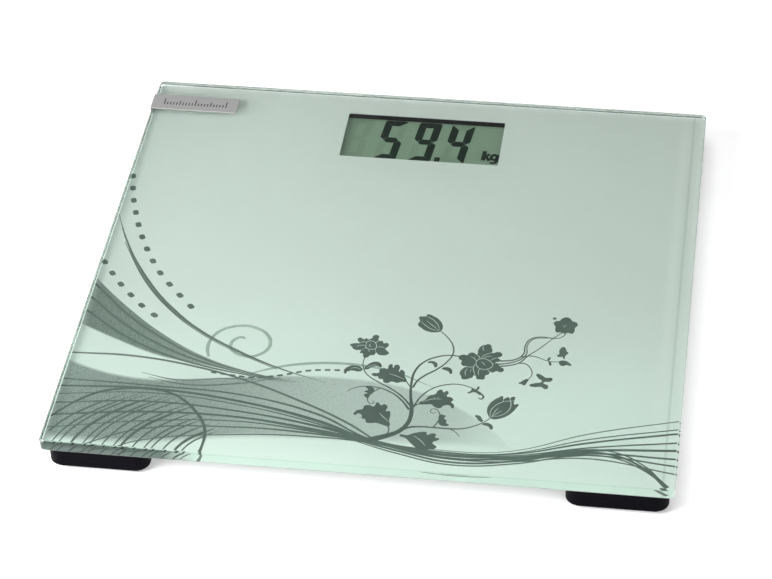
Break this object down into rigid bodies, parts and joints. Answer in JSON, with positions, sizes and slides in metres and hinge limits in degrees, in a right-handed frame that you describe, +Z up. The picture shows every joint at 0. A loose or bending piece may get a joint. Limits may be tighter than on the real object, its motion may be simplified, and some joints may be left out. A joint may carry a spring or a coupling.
{
  "type": "digital glass floor scale",
  "caption": "Square glass-topped electronic floor scale with an ornamental film, an LCD window, load-cell feet, and a battery door and unit button underneath.",
  "frame": {"origin": "on the floor, under the middle of the glass platform", "axes": "+Z up, +Y from the user's side towards the display, +X to the right of a user who reads the display"},
  "size_m": [0.3005, 0.3, 0.0195],
  "materials": {
    "glass": "toughened float glass, polished, with a ground edge",
    "film": "silver-green printed film with a line ornament",
    "badge": "brushed, blank but for scale ticks",
    "black_plastic": "black ABS",
    "rubber": "black, matt",
    "foam": "black foam tape",
    "tape": "white double-sided tape",
    "sensor_steel": "stamped sheet",
    "gauge": "pale polymer",
    "lcd": "grey-green reflective LCD",
    "ribbon": "amber polyimide",
    "board": "green solder mask",
    "chip": "black epoxy drop",
    "coin_steel": "polished can",
    "contact": "nickel-plated spring strip",
    "screw_steel": "zinc plated",
    "cable": "flat cable, dark grey jacket"
  },
  "bodies": {
    "scale_body": {"glass_platform": "glass", "decor_film": "film", "name_badge": "badge", "foot_tape_front_l": "tape", "foot_bracket_front_l": "black_plastic", "load_cell_front_l": "sensor_steel", "strain_gauge_front_l": "gauge", "foot_tape_front_r": "tape", "foot_bracket_front_r": "black_plastic", "load_cell_front_r": "sensor_steel", "strain_gauge_front_r": "gauge", "foot_tape_rear_l": "tape", "foot_bracket_rear_l": "black_plastic", "load_cell_rear_l": "sensor_steel", "strain_gauge_rear_l": "gauge", "foot_tape_rear_r": "tape", "foot_bracket_rear_r": "black_plastic", "load_cell_rear_r": "sensor_steel", "strain_gauge_rear_r": "gauge", "wire_duct_front_l": "black_plastic", "wire_duct_rear_l": "black_plastic", "sensor_cable_front_l": "cable", "sensor_cable_rear_l": "cable", "wire_duct_front_r": "black_plastic", "wire_duct_rear_r": "black_plastic", "sensor_cable_front_r": "cable", "sensor_cable_rear_r": "cable", "case_foam_seal": "foam", "display_frame": "black_plastic", "case_cover": "black_plastic", "lcd_panel": "lcd", "case_screw_front_l": "screw_steel", "case_screw_front_r": "screw_steel", "case_screw_rear_l": "screw_steel", "case_screw_rear_r": "screw_steel", "board_screw_l": "screw_steel", "board_screw_r": "screw_steel", "main_board": "board", "chip_blob": "chip", "lcd_ribbon": "ribbon", "coin_cell": "coin_steel", "battery_contact_minus": "contact", "battery_contact_plus": "contact", "unit_switch": "sensor_steel"},
    "foot_front_l": {"foot_cap_front_l": "black_plastic", "foot_pad_front_l": "rubber"},
    "foot_front_r": {"foot_cap_front_r": "black_plastic", "foot_pad_front_r": "rubber"},
    "foot_rear_l": {"foot_cap_rear_l": "black_plastic", "foot_pad_rear_l": "rubber"},
    "foot_rear_r": {"foot_cap_rear_r": "black_plastic", "foot_pad_rear_r": "rubber"},
    "battery_door": {"battery_door": "black_plastic"},
    "unit_button": {"unit_button": "black_plastic", "switch_plunger": "gauge"}
  },
  "joints": [
    {"name": "foot_press_front_l", "type": "slide", "parent": "scale_body", "child": "foot_front_l", "axis": [0, 0, 1], "range_m": [0, 0.0005], "stiffness_N_per_m": 20000, "springref_m": -0.001, "deforming": ["load_cell_front_l"]},
    {"name": "foot_press_front_r", "type": "slide", "parent": "scale_body", "child": "foot_front_r", "axis": [0, 0, 1], "range_m": [0, 0.0005], "stiffness_N_per_m": 20000, "springref_m": -0.001, "deforming": ["load_cell_front_r"]},
    {"name": "foot_press_rear_l", "type": "slide", "parent": "scale_body", "child": "foot_rear_l", "axis": [0, 0, 1], "range_m": [0, 0.0005], "stiffness_N_per_m": 20000, "springref_m": -0.001, "deforming": ["load_cell_rear_l"]},
    {"name": "foot_press_rear_r", "type": "slide", "parent": "scale_body", "child": "foot_rear_r", "axis": [0, 0, 1], "range_m": [0, 0.0005], "stiffness_N_per_m": 20000, "springref_m": -0.001, "deforming": ["load_cell_rear_r"]},
    {"name": "battery_door_hinge", "type": "hinge", "parent": "scale_body", "child": "battery_door", "pos_m": [-0.02205, 0.08705, 0.00295], "axis": [1, 0, 0], "range_deg": [0, 75]},
    {"name": "unit_button_press", "type": "slide", "parent": "scale_body", "child": "unit_button", "axis": [0, 0, 1], "range_m": [0, 0.0003], "stiffness_N_per_m": 5000}
  ]
}
